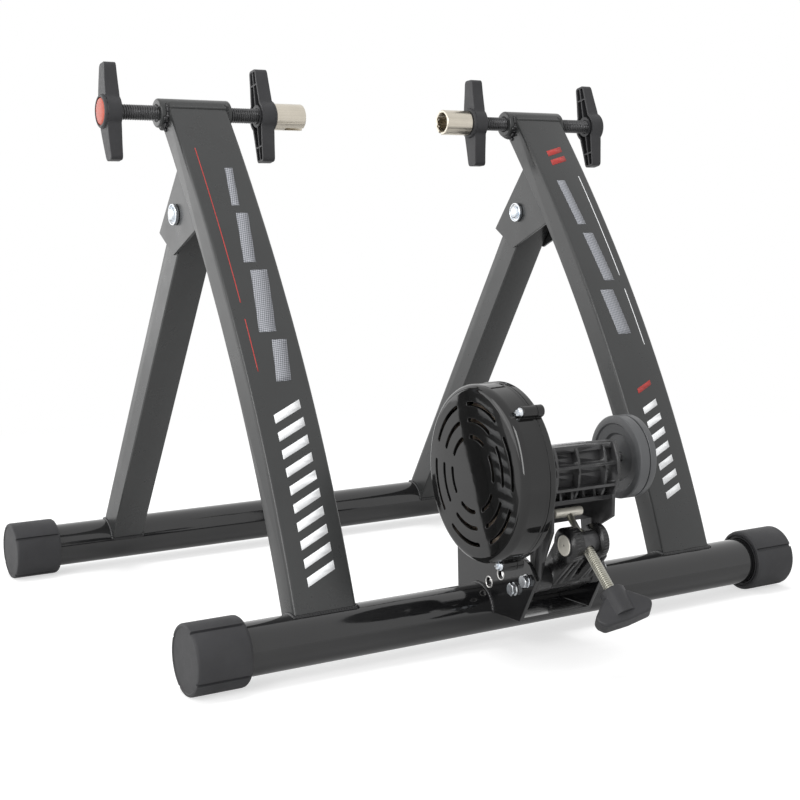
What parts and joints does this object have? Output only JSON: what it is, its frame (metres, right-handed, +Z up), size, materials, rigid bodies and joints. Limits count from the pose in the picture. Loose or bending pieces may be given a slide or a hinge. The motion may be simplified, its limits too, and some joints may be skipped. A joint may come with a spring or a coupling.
{
  "type": "bicycle trainer",
  "caption": "Folding A-frame bicycle trainer with screw axle clamps, a fan-slotted brake housing, a roller and a flywheel on a swinging carrier.",
  "frame": {"origin": "on the floor, below the middle of the whole trainer's width and depth", "axes": "+X along the floor tubes towards the flywheel's side, +Y from the front tube (with the resistance unit) to the rear tube, +Z up"},
  "size_m": [0.545, 0.6052, 0.451],
  "materials": {
    "satin_black_steel": "satin black-grey paint",
    "gloss_black_steel": "gloss black paint",
    "black_thread": "black oxide, threaded",
    "cap_rubber": "matte black-grey",
    "handle_plastic": "matte charcoal, moulded",
    "carrier_nylon": "semi-matte black, moulded",
    "housing_plastic": "gloss black",
    "cup_nickel": "satin nickel plate",
    "zinc": "bright zinc plate",
    "bright_steel": "machined steel",
    "aluminium": "machined",
    "magnet_ring": "dark grey",
    "red_cap": "orange-red, semi-gloss"
  },
  "bodies": {
    "frame": {"front_tube": "gloss_black_steel", "front_cap_left": "cap_rubber", "front_cap_right": "cap_rubber", "left_upright": "satin_black_steel", "right_upright": "satin_black_steel", "left_sleeve": "satin_black_steel", "right_sleeve": "satin_black_steel", "left_fold_bracket": "satin_black_steel", "right_fold_bracket": "satin_black_steel", "left_fold_bolt": "zinc", "right_fold_bolt": "zinc", "left_fold_nut": "zinc", "right_fold_nut": "zinc", "unit_bracket": "gloss_black_steel", "swing_bolt": "zinc", "swing_nut": "zinc", "lock_bolt": "zinc", "lock_nut": "zinc", "lower_mount": "carrier_nylon"},
    "rear_frame": {"rear_tube": "gloss_black_steel", "rear_cap_left": "cap_rubber", "rear_cap_right": "cap_rubber", "left_leg": "satin_black_steel", "right_leg": "satin_black_steel"},
    "left_cup": {"left_axle_cup": "cup_nickel"},
    "left_screw": {"left_rod": "black_thread", "left_handle": "handle_plastic", "left_handle_cap": "red_cap"},
    "left_lock": {"left_lock_knob": "handle_plastic"},
    "right_cup": {"right_axle_cup": "cup_nickel"},
    "right_screw": {"right_rod": "black_thread", "right_handle": "handle_plastic", "right_handle_cap": "red_cap"},
    "right_lock": {"right_lock_knob": "handle_plastic"},
    "unit": {"carrier": "carrier_nylon", "left_bearing": "bright_steel", "right_bearing": "bright_steel", "housing_cover": "housing_plastic", "housing_back": "housing_plastic", "housing_screw_1": "zinc", "housing_screw_2": "zinc", "housing_screw_3": "zinc", "magnet_ring": "magnet_ring"},
    "spinning": {"roller": "bright_steel", "roller_shaft": "bright_steel", "brake_rotor": "aluminium", "rotor_nut": "zinc", "flywheel": "satin_black_steel", "flywheel_nut": "zinc"},
    "barrel": {"barrel_nut": "zinc"},
    "pusher": {"t_bar": "zinc"},
    "adjuster": {"adjuster_rod": "zinc", "adjuster_knob": "handle_plastic"}
  },
  "joints": [
    {"name": "rear_frame_fold", "type": "hinge", "parent": "frame", "child": "rear_frame", "pos_m": [0, 0.06133, 0.33], "axis": [-1, 0, 0], "range_deg": [0, 60]},
    {"name": "left_cup_slide", "type": "slide", "parent": "frame", "child": "left_cup", "axis": [1, 0, 0], "range_m": [-0.0061, 0.0251]},
    {"name": "left_handle_turn", "type": "hinge", "parent": "left_cup", "child": "left_screw", "pos_m": [0, 0.06433, 0.4117], "axis": [1, 0, 0], "range_deg": [-1080, 4500]},
    {"name": "left_lock_knob_slide", "type": "slide", "parent": "left_screw", "child": "left_lock", "axis": [-1, 0, 0], "range_m": [0, 0.018]},
    {"name": "right_cup_slide", "type": "slide", "parent": "frame", "child": "right_cup", "axis": [-1, 0, 0], "range_m": [-0.0061, 0.0251]},
    {"name": "right_handle_turn", "type": "hinge", "parent": "right_cup", "child": "right_screw", "pos_m": [0, 0.06433, 0.4117], "axis": [-1, 0, 0], "range_deg": [-1080, 4500]},
    {"name": "right_lock_knob_slide", "type": "slide", "parent": "right_screw", "child": "right_lock", "axis": [1, 0, 0], "range_m": [0, 0.018]},
    {"name": "unit_swing", "type": "hinge", "parent": "frame", "child": "unit", "pos_m": [0, -0.21767, 0.0583], "axis": [-1, 0, 0], "range_deg": [0, 20]},
    {"name": "roller_spin", "type": "hinge", "parent": "unit", "child": "spinning", "pos_m": [0, -0.21317, 0.1407], "axis": [1, 0, 0], "continuous": true},
    {"name": "barrel_swivel", "type": "hinge", "parent": "frame", "child": "barrel", "pos_m": [-0.002, -0.24467, 0.0873], "axis": [-1, 0, 0], "range_deg": [0, 17]},
    {"name": "pusher_slide", "type": "slide", "parent": "barrel", "child": "pusher", "axis": [0, 0.7278, 0.6858], "range_m": [0, 0.0137]},
    {"name": "adjuster_turn", "type": "hinge", "parent": "pusher", "child": "adjuster", "pos_m": [-0.002, -0.24467, 0.0873], "axis": [0, 0.7278, 0.6858], "range_deg": [0, 3920]}
  ],
  "couplings": [
    {"joint": "left_cup_slide", "follows": "left_handle_turn", "m_per_rad": 0.00031831},
    {"joint": "right_cup_slide", "follows": "right_handle_turn", "m_per_rad": 0.00031831},
    {"joint": "barrel_swivel", "follows": "unit_swing", "ratio": 0.84},
    {"joint": "pusher_slide", "follows": "unit_swing", "m_per_rad": 0.03896},
    {"joint": "adjuster_turn", "follows": "unit_swing", "ratio": 195.8}
  ]
}
